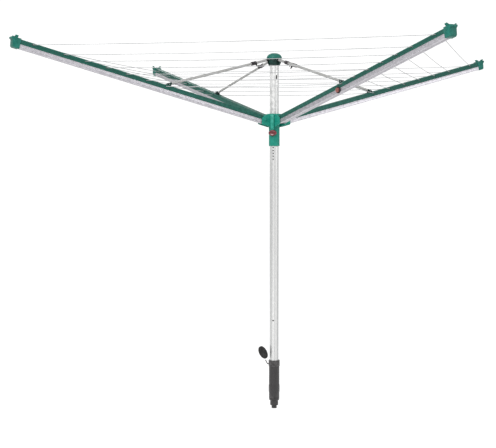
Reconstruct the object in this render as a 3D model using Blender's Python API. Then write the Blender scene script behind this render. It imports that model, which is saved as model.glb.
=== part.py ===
"""Rotary clothesline: a mast in a ground sleeve, a sliding hub, four folding arms and their lines.

Metres, +Z up. The mast's axis is Z, and Z = 0 is the flat tip of the ground sleeve. Arm 1 points
along +X, and arms 2, 3 and 4 follow it anticlockwise. The model stands open, ready for use.
"""

from math import atan2, cos, hypot, pi, radians, sin

import bmesh
import bpy
from mathutils import Matrix, Vector

ARMS = (1, 2, 3, 4)
GAP = 0.0003

# Ground sleeve: a plastic tube with a stepped tip, and a lid on a rubber strap.
SLEEVE_TOP = 0.267
SLEEVE_R = 0.0290
COLLAR_R = 0.0310
COLLAR_H = 0.033
BULGE_R = 0.0305
SLEEVE_BORE_R = 0.0256
SLEEVE_FLOOR = 0.0465
TIP_STEP_R = 0.0225
TIP_STEP_Z = 0.042
TIP_R = 0.0145
TIP_Z = 0.017
LID_R = 0.037
LID_DEPTH = 0.009
LID_WALL = 0.0035
LID_AZIMUTH = radians(148.3)
LID_REACH = 0.062
LID_Z = 0.308
LID_LEAN = radians(22.5)
LID_TWIST = radians(36)
STRAP_WIDTH = 0.010
STRAP_THICK = 0.0042
STRAP_Z = 0.246

# Mast: one aluminium tube from the sleeve to under the cap.
MAST_R = 0.025
MAST_WALL = 0.0015
MAST_BOTTOM = 0.050
MAST_TOP = 1.9295
NOTCH_AZIMUTH = radians(225)
NOTCH_R = 0.0036
NOTCH_TOP = 1.4475
NOTCH_PITCH = 0.016
NOTCHES = 5
LOW_HOLE_Z = 0.489
LOW_HOLE_R = 0.004
SLOT_Z = 1.838
SLOT_WIDTH = 0.007
SLOT_HEIGHT = 0.022

# Crown and cap.
CROWN_LOW = 1.9035
CROWN_LOW_R = 0.030
CROWN_TOP_R = 0.0395
CAP_R = 0.043
CAP_RIM_R = 0.0405
CAP_LOW = 1.9375
CAP_TOP = 1.972
SLOT_HALF = 0.0078
SLOT_INNER_R = 0.0285
SLOT_ROOF = 1.9425
CHEEK = 0.0030
EYE_R = 0.0065
PIN_R = 0.0020
PIN_BORE_R = 0.0024

# Linkage: an arm turns on a pin in the hub and hangs at its bracket from a strut.
ARM_PIVOT_R = 0.072
ARM_PIVOT_Z = 1.6006
ARM_RISE = radians(14.1)
BRACKET_S = 0.6066
BRACKET_H = 0.0335
CROWN_PIVOT_R = 0.036
CROWN_PIVOT_Z = 1.934
BRACKET_R = ARM_PIVOT_R + BRACKET_S * cos(ARM_RISE) - BRACKET_H * sin(ARM_RISE)
BRACKET_Z = ARM_PIVOT_Z + BRACKET_S * sin(ARM_RISE) + BRACKET_H * cos(ARM_RISE)
STRUT_LENGTH = hypot(BRACKET_R - CROWN_PIVOT_R, BRACKET_Z - CROWN_PIVOT_Z)
STRUT_FALL = atan2(CROWN_PIVOT_Z - BRACKET_Z, BRACKET_R - CROWN_PIVOT_R)

# Struts.
STRUT_R = 0.007
STRUT_WALL = 0.001
PADDLE_HALF = 0.0065
PADDLE_LENGTH = 0.0135
SHOULDER = 0.003
SPIGOT_LENGTH = 0.020
CLIP_S = 0.100
CLIP_LENGTH = 0.030
CLIP_R = 0.0103
HOOK_Y = 0.0235
HOOK_DROP = 0.022

# Arms: S runs out along the arm from its pin, H is square to it and up, Y is across.
ARM_LENGTH = 1.4925
ARM_START = 0.006
ARM_HALF = 0.018
COVER_TOP = 0.024
COVER_LOW = -0.0007
COVER_WALL = 0.002
COVER_ROUND = 0.004
CHANNEL_TOP = -0.001
CHANNEL_LOW = -0.022
CHANNEL_WALL = 0.0016
CAP_LENGTH = 0.050
CAP_HALF = 0.021
HORN_TIP_Y = 0.030
HORN_TIP_H = 0.038
PLUG_HALF = 0.015
NOSE_R = 0.018
PLUG_LENGTH = 0.055
ARM_PIN_R = 0.0040
ARM_PIN_BORE_R = 0.0044
ARM_PIN_HALF = 0.0185
LINE_S = (1.3775, 1.2074, 1.0908, 0.9743, 0.8578, 0.7413, 0.6248)
LINE_H = 0.014
LINE_R = 0.0016
LINE_SAG = 0.007
LINE_BEND_S = 0.006
LINE_BEND_Y = 0.012
LINE_TURN_S = 0.011
LINE_DIP = 0.004
LINE_STEP_BACK = 0.010
LINE_STEP_FORE = 0.030
LINE_HOLE_LONG = 0.0092
LINE_HOLE_HIGH = 0.0050

# Hub and its release button.
HUB_BORE_R = 0.0259
HUB_LOW = 1.4565
HUB_SLEEVE_R = 0.0300
HUB_CORE_R = 0.045
HUB_CORE_LOW = 1.582
HUB_CONE = 0.024
HUB_TOP = 1.635
EAR_GAP_HALF = 0.0192
EAR_THICK = 0.0035
EAR_INNER = 0.0213
EAR_STEP = 0.0004
EAR_REACH = 0.092
EAR_LOW = 1.561
EAR_TIP_LOW = 1.579
EAR_TIP_HIGH = 1.610
PIN_HEAD_R = 0.0075
PIN_HEAD_H = 0.002
RIB_HALF = 0.009
RIB_LOW = 1.547
RIB_REACH = 0.050
BUTTON_Z = 1.529
BUTTON_HALF_WIDE = 0.023
BUTTON_HALF_HIGH = 0.0165
BUTTON_INNER = 0.0355
BUTTON_OUTER = 0.0465
BUTTON_STEM_R = 0.004
BUTTON_STEM_INNER = 0.031

# Line tension knob, on the side of arm 4 that faces arm 3.
KNOB_S = 0.594
KNOB_H = -0.0090
RING_R = 0.017
RING_DEPTH = 0.006
KNOB_R = 0.012
KNOB_DEPTH = 0.012
KNOB_STEM_R = 0.004

GREEN = ("green_plastic", (0.010, 0.215, 0.160), 0.42, 0.0)
DARK_GREEN = ("dark_green_plastic", (0.006, 0.075, 0.058), 0.50, 0.0)
ALUMINIUM = ("anodised_aluminium", (0.74, 0.75, 0.77), 0.32, 1.0)
GREY = ("grey_strut_paint", (0.40, 0.41, 0.42), 0.40, 0.6)
CHARCOAL = ("charcoal_plastic", (0.040, 0.040, 0.044), 0.60, 0.0)
BLACK = ("black_plastic", (0.012, 0.012, 0.013), 0.50, 0.0)
RED = ("red_plastic", (0.36, 0.012, 0.022), 0.35, 0.0)
BROWN = ("brown_red_plastic", (0.30, 0.065, 0.045), 0.40, 0.0)
STEEL = ("steel", (0.60, 0.60, 0.61), 0.30, 1.0)
LINE = ("line_sheath", (0.80, 0.81, 0.82), 0.55, 0.0)


def clear_scene():
    for old in list(bpy.data.objects):
        bpy.data.objects.remove(old, do_unlink=True)


def material(finish):
    name, colour, roughness, metallic = finish
    made = bpy.data.materials.get(name)
    if made is None:
        made = bpy.data.materials.new(name)
        made.use_nodes = True
        shader = made.node_tree.nodes["Principled BSDF"]
        shader.inputs["Base Color"].default_value = (*colour, 1.0)
        shader.inputs["Roughness"].default_value = roughness
        shader.inputs["Metallic"].default_value = metallic
    return made


def mesh_of(bm):
    bmesh.ops.recalc_face_normals(bm, faces=bm.faces)
    mesh = bpy.data.meshes.new("shape")
    bm.to_mesh(mesh)
    bm.free()
    return mesh


def turned(profile, segments=24):
    """A (radius, height) outline spun round Z. It is left open where it starts and ends on the axis."""
    bm = bmesh.new()
    points = [bm.verts.new((r, 0, z)) for r, z in profile]
    edges = [bm.edges.new(pair) for pair in zip(points, points[1:])]
    if profile[0][0] > 0:
        edges.append(bm.edges.new((points[-1], points[0])))
    bmesh.ops.spin(
        bm, geom=points + edges, axis=(0, 0, 1), cent=(0, 0, 0), angle=2 * pi, steps=segments
    )
    bmesh.ops.remove_doubles(bm, verts=bm.verts, dist=1e-5)
    return mesh_of(bm)


def prism(points, sweep):
    """A flat outline of 3-D points, extruded by the vector sweep."""
    bm = bmesh.new()
    face = bm.faces.new([bm.verts.new(point) for point in points])
    grown = bmesh.ops.extrude_face_region(bm, geom=[face])["geom"]
    ends = [item for item in grown if isinstance(item, bmesh.types.BMVert)]
    bmesh.ops.translate(bm, verts=ends, vec=sweep)
    return mesh_of(bm)


def box(low, high):
    (x0, y0, z0), (x1, y1, z1) = low, high
    return prism([(x0, y0, z0), (x1, y0, z0), (x1, y1, z0), (x0, y1, z0)], (0, 0, z1 - z0))


def rod(radius, start, end, segments=12):
    """A round bar from the point start to the point end."""
    start, end = Vector(start), Vector(end)
    turn = (end - start).to_track_quat("Z", "Y").to_matrix().to_4x4()
    bm = bmesh.new()
    bmesh.ops.create_cone(
        bm,
        cap_ends=True,
        segments=segments,
        radius1=radius,
        radius2=radius,
        depth=(end - start).length,
        matrix=Matrix.Translation((start + end) / 2) @ turn,
    )
    return mesh_of(bm)


def moved(mesh, matrix):
    copy = mesh.copy()
    copy.transform(matrix)
    return copy


def about_z(mesh, angle):
    return moved(mesh, Matrix.Rotation(angle, 4, "Z"))


def arc(centre, radius, start, end, steps):
    """Points round a centre in the XZ plane, from one angle to another, as (x, z) pairs."""
    angles = [start + (end - start) * step / steps for step in range(steps + 1)]
    return [(centre[0] + radius * cos(a), centre[1] + radius * sin(a)) for a in angles]


def boolean(operation, mesh, tools):
    """The mesh after one Boolean with each tool, as a new mesh."""
    base = bpy.data.objects.new("base", mesh)
    bpy.context.collection.objects.link(base)
    helpers = []
    for tool in tools:
        helper = bpy.data.objects.new("tool", tool)
        bpy.context.collection.objects.link(helper)
        helpers.append(helper)
        modifier = base.modifiers.new("boolean", "BOOLEAN")
        modifier.operation = operation
        modifier.object = helper
    bpy.context.view_layer.update()
    graph = bpy.context.evaluated_depsgraph_get()
    result = bpy.data.meshes.new_from_object(base.evaluated_get(graph))
    for helper in [base] + helpers:
        bpy.data.objects.remove(helper)
    return result


def joined(mesh, *tools):
    return boolean("UNION", mesh, tools)


def cut(mesh, *tools):
    return boolean("DIFFERENCE", mesh, tools)


def empty(name, location, rotation=(0, 0, 0), parent=None):
    made = bpy.data.objects.new(name, None)
    bpy.context.collection.objects.link(made)
    made.empty_display_size = 0.03
    made.location = location
    made.rotation_euler = rotation
    made.parent = parent
    return made


def piece(name, mesh, finish, parent=None, location=(0, 0, 0), rotation=(0, 0, 0)):
    """One named sub-part, smooth where its faces meet at less than 35 degrees."""
    made = bpy.data.objects.new(name, mesh)
    bpy.context.collection.objects.link(made)
    if not mesh.materials:
        mesh.materials.append(material(finish))
        mesh.shade_smooth()
        mesh.set_sharp_from_angle(angle=radians(35))
    made.parent = parent
    made.location = location
    made.rotation_euler = rotation
    return made


def make_ground_sleeve():
    sleeve = turned(
        [
            (0, 0),
            (TIP_R, 0),
            (TIP_R, TIP_Z),
            (TIP_STEP_R, TIP_Z),
            (TIP_STEP_R, TIP_STEP_Z),
            (SLEEVE_R, TIP_STEP_Z + 0.006),
            (SLEEVE_R, 0.085),
            (BULGE_R, 0.095),
            (BULGE_R, 0.125),
            (SLEEVE_R, 0.135),
            (SLEEVE_R, SLEEVE_TOP - COLLAR_H),
            (COLLAR_R, SLEEVE_TOP - COLLAR_H),
            (COLLAR_R, SLEEVE_TOP - 0.001),
            (COLLAR_R - 0.001, SLEEVE_TOP),
            (SLEEVE_BORE_R, SLEEVE_TOP),
            (SLEEVE_BORE_R, SLEEVE_FLOOR),
            (0, SLEEVE_FLOOR),
        ]
    )
    piece("ground_sleeve", sleeve, CHARCOAL)


def make_lid():
    """The lid stands open beside the mast, held by a strap that hooks round the collar's side."""
    outward = Matrix.Rotation(LID_AZIMUTH, 4, "Z")
    edge_r = LID_REACH - LID_R * sin(LID_LEAN)
    edge_z = LID_Z - LID_R * cos(LID_LEAN)
    half = STRAP_THICK / 2
    low = STRAP_Z - half
    route = [
        (COLLAR_R + GAP, low),
        (COLLAR_R + 0.006, low),
        (COLLAR_R + 0.0095, low + 0.003),
        (edge_r + half, edge_z - 0.0072),
        (edge_r - half, edge_z - 0.0072),
        (COLLAR_R + 0.0065, low + 0.0055),
        (COLLAR_R + 0.005, low + STRAP_THICK),
        (COLLAR_R + GAP, low + STRAP_THICK),
    ]
    strap = prism([(r, -STRAP_WIDTH / 2, z) for r, z in route], (0, STRAP_WIDTH, 0))
    piece("lid_strap", about_z(strap, LID_AZIMUTH), BLACK)

    dish = turned(
        [
            (0, 0),
            (LID_R - 0.0015, 0),
            (LID_R, 0.0015),
            (LID_R, LID_DEPTH),
            (LID_R - LID_WALL, LID_DEPTH),
            (LID_R - LID_WALL, LID_WALL),
            (0, LID_WALL),
        ]
    )
    lean = Matrix.Rotation(-(pi / 2 - LID_LEAN), 4, "Y")
    twist = Matrix.Rotation(LID_TWIST, 4, Vector((sin(LID_LEAN), 0, cos(LID_LEAN))))
    seat = Matrix.Translation((LID_REACH - edge_r, 0, LID_Z - edge_z))
    centred = Matrix.Translation((0, 0, -LID_DEPTH / 2))
    placed = moved(dish, seat @ twist @ lean @ centred)
    hinge = empty("lid_hinge", outward @ Vector((edge_r, 0, edge_z)), (0, 0, LID_AZIMUTH))
    piece("lid", placed, BLACK, hinge)


def make_mast():
    tube = turned(
        [
            (MAST_R, MAST_BOTTOM),
            (MAST_R, MAST_TOP),
            (MAST_R - MAST_WALL, MAST_TOP),
            (MAST_R - MAST_WALL, MAST_BOTTOM),
        ],
        32,
    )
    drills = []
    side = Vector((cos(NOTCH_AZIMUTH), sin(NOTCH_AZIMUTH), 0))
    heights = [NOTCH_TOP - NOTCH_PITCH * step for step in range(NOTCHES)]
    for radius, z in [(NOTCH_R, z) for z in heights] + [(LOW_HOLE_R, LOW_HOLE_Z)]:
        up = Vector((0, 0, z))
        drills.append(rod(radius, side * 0.018 + up, side * 0.032 + up))
    half = SLOT_WIDTH / 2
    top = SLOT_Z + SLOT_HEIGHT / 2
    drills.append(box((-half, -0.032, top - SLOT_HEIGHT), (half, -0.018, top)))
    mast = empty("mast_axis", (0, 0, MAST_BOTTOM))
    piece("mast_tube", cut(tube, *drills), ALUMINIUM, mast, (0, 0, -MAST_BOTTOM))

    inner = MAST_R - MAST_WALL - GAP
    plug = turned(
        [
            (0, SLEEVE_FLOOR + GAP),
            (MAST_R - GAP, SLEEVE_FLOOR + GAP),
            (MAST_R - GAP, MAST_BOTTOM - GAP),
            (inner, MAST_BOTTOM - GAP),
            (inner, MAST_BOTTOM + 0.032),
            (inner - 0.002, MAST_BOTTOM + 0.034),
            (0, MAST_BOTTOM + 0.034),
        ]
    )
    piece("foot_plug", plug, CHARCOAL, mast, (0, 0, -MAST_BOTTOM))
    return mast


def make_crown(mast):
    """A collar with four forks, one for each strut, each closed by a pin."""
    bore = MAST_R + GAP
    collar = turned(
        [
            (bore, CROWN_LOW),
            (CROWN_LOW_R, CROWN_LOW),
            (CROWN_LOW_R + 0.004, CROWN_LOW + 0.007),
            (CROWN_TOP_R - 0.001, CROWN_LOW + 0.018),
            (CROWN_TOP_R, CROWN_LOW + 0.026),
            (CROWN_TOP_R, CAP_LOW - GAP),
            (bore, CAP_LOW - GAP),
        ]
    )
    reach = EYE_R + 0.0005
    outline = [(bore + 0.002, CROWN_PIVOT_Z - reach), (CROWN_PIVOT_R, CROWN_PIVOT_Z - reach)]
    outline += arc((CROWN_PIVOT_R, CROWN_PIVOT_Z), reach, -pi / 3, 0, 3)
    outline += [(CROWN_PIVOT_R + reach, CAP_LOW - 2 * GAP), (bore + 0.002, CAP_LOW - 2 * GAP)]
    outside = SLOT_HALF + CHEEK
    fork = prism([(x, -outside, z) for x, z in outline], (0, 2 * outside, 0))
    slot = box((SLOT_INNER_R, -SLOT_HALF, CROWN_LOW - 0.01), (0.060, SLOT_HALF, SLOT_ROOF))
    across = (CROWN_PIVOT_R, outside + 0.01, CROWN_PIVOT_Z)
    drill = rod(PIN_BORE_R, (across[0], -across[1], across[2]), across)
    turns = [radians(90) * (arm - 1) for arm in ARMS]
    crown = joined(collar, *[about_z(fork, turn) for turn in turns])
    crown = cut(crown, *[about_z(slot, turn) for turn in turns])
    crown = cut(crown, *[about_z(drill, turn) for turn in turns])
    piece("crown", crown, DARK_GREEN, mast, (0, 0, -MAST_BOTTOM))

    inner = MAST_R - MAST_WALL - GAP
    cap = turned(
        [
            (0, MAST_TOP - 0.020),
            (inner, MAST_TOP - 0.020),
            (inner, CAP_LOW),
            (CAP_RIM_R - 0.001, CAP_LOW),
            (CAP_RIM_R, CAP_LOW + 0.001),
            (CAP_R, CAP_LOW + 0.008),
            (CAP_R, CAP_LOW + 0.011),
            (0.0400, CAP_LOW + 0.0165),
            (0.0340, CAP_LOW + 0.0245),
            (0.0265, CAP_LOW + 0.0305),
            (0.0180, CAP_LOW + 0.0335),
            (0, CAP_TOP),
        ]
    )
    cap = cut(cap, *[about_z(slot, turn) for turn in turns])
    piece("cap", cap, GREEN, mast, (0, 0, -MAST_BOTTOM))


def strut_end_mesh():
    """A flat eye on the strut's axis, with a shoulder and a spigot that goes into the tube."""
    outline = arc((0, 0), EYE_R, pi / 2, 3 * pi / 2, 8)
    outline += [(PADDLE_LENGTH + 0.001, -EYE_R), (PADDLE_LENGTH + 0.001, EYE_R)]
    paddle = prism([(x, -PADDLE_HALF, z) for x, z in outline], (0, 2 * PADDLE_HALF, 0))
    shoulder_end = PADDLE_LENGTH + SHOULDER
    shoulder = rod(STRUT_R, (PADDLE_LENGTH, 0, 0), (shoulder_end, 0, 0))
    spigot_r = STRUT_R - STRUT_WALL - GAP
    spigot = rod(spigot_r, (PADDLE_LENGTH + 0.001, 0, 0), (shoulder_end + SPIGOT_LENGTH, 0, 0))
    bore = rod(PIN_BORE_R, (0, -0.02, 0), (0, 0.02, 0))
    return cut(joined(paddle, shoulder, spigot), bore)


def strut_tube_mesh():
    start = PADDLE_LENGTH + SHOULDER + GAP
    length = STRUT_LENGTH - 2 * start
    tube = turned(
        [
            (STRUT_R, 0),
            (STRUT_R, length),
            (STRUT_R - STRUT_WALL, length),
            (STRUT_R - STRUT_WALL, 0),
        ],
        12,
    )
    return moved(tube, Matrix.Translation((start, 0, 0)) @ Matrix.Rotation(pi / 2, 4, "Y"))


def clip_mesh():
    """A ring round the strut with a side tab, and a tapered hook that hangs from the tab."""
    half = CLIP_LENGTH / 2
    low, high = CLIP_S - half, CLIP_S + half
    ring = rod(CLIP_R, (low, 0, 0), (high, 0, 0), 20)
    tab = box((CLIP_S - 0.008, 0.006, -0.003), (CLIP_S + 0.008, HOOK_Y + 0.002, 0.003))
    tip = CLIP_S - HOOK_DROP * sin(STRUT_FALL)
    prong = [
        (CLIP_S - 0.006, HOOK_Y - 0.002, -0.0029),
        (CLIP_S + 0.006, HOOK_Y - 0.002, -0.0029),
        (tip + 0.0015, HOOK_Y - 0.002, -HOOK_DROP),
        (tip - 0.0015, HOOK_Y - 0.002, -HOOK_DROP),
    ]
    hook = joined(tab, prism(prong, (0, 0.0038, 0)))
    bore = rod(STRUT_R + GAP, (low - 0.01, 0, 0), (high + 0.01, 0, 0))
    return cut(joined(ring, hook), bore)


def make_struts(mast):
    """Each strut's frame has its origin on the crown pin, with X running down the strut."""
    end = strut_end_mesh()
    tube = strut_tube_mesh()
    clip = clip_mesh()
    across = SLOT_HALF + CHEEK
    pin = rod(PIN_R, (0, -across, 0), (0, across, 0))
    for arm in ARMS:
        turn = radians(90) * (arm - 1)
        pivot = (CROWN_PIVOT_R * cos(turn), CROWN_PIVOT_R * sin(turn), CROWN_PIVOT_Z - MAST_BOTTOM)
        frame = empty(f"strut_{arm}_joint", pivot, (0, STRUT_FALL, turn), mast)
        piece(f"strut_{arm}_tube", tube, GREY, frame)
        piece(f"strut_{arm}_top_end", end, BLACK, frame)
        piece(f"strut_{arm}_lower_end", end, BLACK, frame, (STRUT_LENGTH, 0, 0), (0, 0, pi))
        piece(f"strut_{arm}_hook", clip, BLACK, frame)
        piece(f"crown_pin_{arm}", pin, STEEL, mast, pivot, (0, 0, turn))


def ear_mesh(side, step):
    """One ear with its pin head. Step keeps the faces of two crossing ears out of one plane."""
    inside = EAR_GAP_HALF
    outside = EAR_GAP_HALF + EAR_THICK
    outline = [
        (EAR_INNER, EAR_LOW + step),
        (0.0350, EAR_LOW + 0.0007 + step),
        (EAR_REACH - 0.004, EAR_TIP_LOW - 0.003),
        (EAR_REACH, EAR_TIP_LOW),
        (EAR_REACH, EAR_TIP_HIGH),
        (EAR_REACH - 0.010, EAR_TIP_HIGH + 0.009),
        (0.0500, HUB_TOP - 0.001 - step),
        (EAR_INNER, HUB_TOP - 0.001 - step),
    ]
    low = min(side * inside, side * outside)
    ear = prism([(x, low, z) for x, z in outline], (0, EAR_THICK, 0))
    head_start = (ARM_PIVOT_R, side * (outside - 0.001), ARM_PIVOT_Z)
    head_end = (ARM_PIVOT_R, side * (outside + PIN_HEAD_H), ARM_PIVOT_Z)
    return joined(ear, rod(PIN_HEAD_R, head_start, head_end))


def make_hub(mast):
    """A sleeve on the mast with a core and four pairs of ears, and the pins' heads on the ears."""
    body = turned(
        [
            (HUB_BORE_R, HUB_LOW),
            (HUB_SLEEVE_R - 0.001, HUB_LOW),
            (HUB_SLEEVE_R, HUB_LOW + 0.001),
            (HUB_SLEEVE_R, HUB_CORE_LOW - HUB_CONE),
            (HUB_CORE_R, HUB_CORE_LOW),
            (HUB_CORE_R, HUB_TOP - 0.004),
            (HUB_CORE_R - 0.003, HUB_TOP),
            (HUB_BORE_R, HUB_TOP),
        ]
    )
    parts = []
    for arm in ARMS:
        turn = radians(90) * (arm - 1)
        parts += [about_z(ear_mesh(side, EAR_STEP * (arm % 2)), turn) for side in (-1, 1)]
    rib = box((0.0275, -RIB_HALF, RIB_LOW), (RIB_REACH, RIB_HALF, HUB_TOP - 0.006))
    body = joined(body, *parts, about_z(rib, NOTCH_AZIMUTH))
    side = Vector((cos(NOTCH_AZIMUTH), sin(NOTCH_AZIMUTH), 0))
    up = Vector((0, 0, BUTTON_Z))
    stem_bore = rod(BUTTON_STEM_R + 0.0004, side * 0.015 + up, side * 0.045 + up)
    frame = empty("hub_frame", (0, 0, ARM_PIVOT_Z - MAST_BOTTOM), parent=mast)
    body = cut(body, stem_bore)
    piece("hub", body, GREEN, frame, (0, 0, -ARM_PIVOT_Z))

    rim = [(BUTTON_HALF_WIDE * cos(2 * pi * n / 24), BUTTON_HALF_HIGH * sin(2 * pi * n / 24))
           for n in range(24)]
    button = prism([(BUTTON_INNER, y, z) for y, z in rim], (BUTTON_OUTER - 0.003 - BUTTON_INNER, 0, 0))
    face = prism([(BUTTON_OUTER - 0.004, 0.85 * y, 0.85 * z) for y, z in rim], (0.004, 0, 0))
    stem = rod(BUTTON_STEM_R, (BUTTON_STEM_INNER, 0, 0), (BUTTON_INNER + 0.002, 0, 0))
    button = joined(button, face, stem)
    place = (0, 0, BUTTON_Z - ARM_PIVOT_Z)
    piece("release_button", button, RED, frame, place, (0, 0, NOTCH_AZIMUTH))


def arm_section(half, wall, base, edge, corner):
    """A U of wall thickness, its web at the height base and its open edges at the height edge."""
    side = 1 if edge > base else -1
    inner = half - wall
    step = side * corner
    return [
        (-half, edge),
        (-half, base + step),
        (-half + corner * 0.3, base + step * 0.3),
        (-half + corner, base),
        (half - corner, base),
        (half - corner * 0.3, base + step * 0.3),
        (half, base + step),
        (half, edge),
        (inner, edge),
        (inner, base + side * wall),
        (-inner, base + side * wall),
        (-inner, edge),
    ]


def cover_mesh():
    """The cover, with a hole in each side wall wherever the line goes through the arm.

    The line leaves its bend level and at 45 degrees, so it meets the wall's middle nearer the mast.
    """
    inward = ARM_HALF - COVER_WALL / 2 - LINE_BEND_Y
    shift = LINE_BEND_S - inward * cos(ARM_RISE)
    height = LINE_H + inward * sin(ARM_RISE)
    outline = arm_section(ARM_HALF, COVER_WALL, COVER_TOP, COVER_LOW, COVER_ROUND)
    length = ARM_LENGTH - CAP_LENGTH - GAP - ARM_START
    cover = prism([(ARM_START, y, h) for y, h in outline], (length, 0, 0))
    half_long = LINE_HOLE_LONG / 2
    half_high = LINE_HOLE_HIGH / 2
    holes = [
        box((s - half_long, -0.03, height - half_high), (s + half_long, 0.03, height + half_high))
        for s in [s + shift for s in LINE_S]
    ]
    return cut(cover, *holes)


def channel_mesh():
    outline = arm_section(ARM_HALF, CHANNEL_WALL, CHANNEL_LOW, CHANNEL_TOP, 0.002)
    length = ARM_LENGTH - CAP_LENGTH - GAP - ARM_START
    return prism([(ARM_START, y, h) for y, h in outline], (length, 0, 0))


def end_cap_mesh():
    """A block that closes the arm's end, with a lip, a spigot inside and two horns for a line."""
    start = ARM_LENGTH - CAP_LENGTH
    outline = [
        (start, -0.0245),
        (ARM_LENGTH - 0.022, -0.0245),
        (ARM_LENGTH - 0.014, -0.0190),
        (ARM_LENGTH - 0.009, 0.0120),
        (ARM_LENGTH, 0.0180),
        (ARM_LENGTH, 0.0245),
        (ARM_LENGTH - 0.003, 0.0270),
        (start, 0.0270),
    ]
    block = prism([(s, -CAP_HALF, h) for s, h in outline], (0, 2 * CAP_HALF, 0))
    spigot = box((start - 0.032, -PLUG_HALF, -NOSE_R), (start + 0.002, PLUG_HALF, NOSE_R))
    horns = []
    for side in (-1, 1):
        front = [
            (side * 0.010, 0.0220),
            (side * 0.012, 0.0300),
            (side * (HORN_TIP_Y - 0.003), HORN_TIP_H),
            (side * HORN_TIP_Y, HORN_TIP_H - 0.002),
            (side * (CAP_HALF - 0.001), 0.0220),
        ]
        horns.append(prism([(start + 0.020, y, h) for y, h in front], (0.016, 0, 0)))
    return joined(block, spigot, *horns)


def root_plug_mesh():
    """The rounded nose that turns between the hub's ears, with its bore for the arm pin."""
    outline = arc((0, 0), NOSE_R, pi / 2, 3 * pi / 2, 10)
    outline += [(PLUG_LENGTH, -NOSE_R), (PLUG_LENGTH, NOSE_R)]
    plug = prism([(s, -PLUG_HALF, h) for s, h in outline], (0, 2 * PLUG_HALF, 0))
    return cut(plug, rod(ARM_PIN_BORE_R, (0, -0.03, 0), (0, 0.03, 0)))


def bracket_mesh():
    """A saddle on the cover with two cheeks for the strut's eye."""
    floor = COVER_TOP + GAP
    plate_top = floor + 0.0015
    outside = SLOT_HALF + CHEEK
    plate = box((BRACKET_S - 0.026, -0.0130, floor), (BRACKET_S + 0.026, 0.0130, plate_top))
    outline = [(BRACKET_S - 0.014, floor + 0.001)]
    outline += [(BRACKET_S + 0.014, floor + 0.001)]
    outline += arc((BRACKET_S, BRACKET_H), EYE_R + 0.0005, pi / 8, 7 * pi / 8, 6)
    cheeks = [
        prism([(s, y, h) for s, h in outline], (0, CHEEK, 0)) for y in (-outside, SLOT_HALF)
    ]
    bore = rod(PIN_BORE_R, (BRACKET_S, -0.02, BRACKET_H), (BRACKET_S, 0.02, BRACKET_H))
    return cut(joined(plate, *cheeks), bore)


def make_arms(mast):
    """Each arm's frame has its origin on the bracket pin, with X running out along the arm."""
    cover = cover_mesh()
    channel = channel_mesh()
    end_cap = end_cap_mesh()
    root_plug = root_plug_mesh()
    bracket = bracket_mesh()
    arm_pin = rod(ARM_PIN_R, (0, -ARM_PIN_HALF, 0), (0, ARM_PIN_HALF, 0))
    across = SLOT_HALF + CHEEK
    bracket_pin = rod(PIN_R, (BRACKET_S, -across, BRACKET_H), (BRACKET_S, across, BRACKET_H))
    root = (-BRACKET_S, 0, -BRACKET_H)
    frames = {}
    for arm in ARMS:
        turn = radians(90) * (arm - 1)
        pivot = (BRACKET_R * cos(turn), BRACKET_R * sin(turn), BRACKET_Z - MAST_BOTTOM)
        frame = empty(f"arm_{arm}_joint", pivot, (0, -ARM_RISE, turn), mast)
        piece(f"arm_{arm}_cover", cover, GREEN, frame, root)
        piece(f"arm_{arm}_channel", channel, ALUMINIUM, frame, root)
        piece(f"arm_{arm}_end_cap", end_cap, GREEN, frame, root)
        piece(f"arm_{arm}_root_plug", root_plug, DARK_GREEN, frame, root)
        piece(f"arm_{arm}_bracket", bracket, DARK_GREEN, frame, root)
        piece(f"arm_{arm}_root_pin", arm_pin, STEEL, frame, root)
        piece(f"bracket_pin_{arm}", bracket_pin, STEEL, frame, root)
        frames[arm] = frame
    return frames


def make_knob(frame):
    """The knob stands in a ring fixed to the channel's side. Its axis is the arm's Y axis."""
    wall = ARM_HALF + GAP
    depths = [(KNOB_STEM_R + 0.0006, 0), (RING_R, 0), (RING_R, RING_DEPTH - 0.001)]
    depths += [(RING_R - 0.001, RING_DEPTH), (KNOB_R + 0.0012, RING_DEPTH)]
    depths += [(KNOB_R + 0.0012, 0.002), (KNOB_STEM_R + 0.0006, 0.002)]
    lie = Matrix.Rotation(pi / 2, 4, "X")
    ring = moved(turned(depths, 24), lie)
    knob = moved(
        turned(
            [
                (0, 0.0003),
                (KNOB_STEM_R, 0.0003),
                (KNOB_STEM_R, 0.0028),
                (KNOB_R, 0.0028),
                (KNOB_R, KNOB_DEPTH - 0.002),
                (KNOB_R - 0.002, KNOB_DEPTH),
                (0, KNOB_DEPTH),
            ],
            24,
        ),
        lie,
    )
    place = (KNOB_S - BRACKET_S, -wall, KNOB_H - BRACKET_H)
    piece("knob_ring", ring, BLACK, frame, place)
    piece("tension_knob", knob, BROWN, frame, place)


def in_arm(arm, s, y, h):
    """The world place of a point of an arm's frame, counted from the arm pin."""
    out = ARM_PIVOT_R + s * cos(ARM_RISE) - h * sin(ARM_RISE)
    up = ARM_PIVOT_Z + s * sin(ARM_RISE) + h * cos(ARM_RISE)
    return Matrix.Rotation(radians(90) * (arm - 1), 4, "Z") @ Vector((out, y, up))


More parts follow.
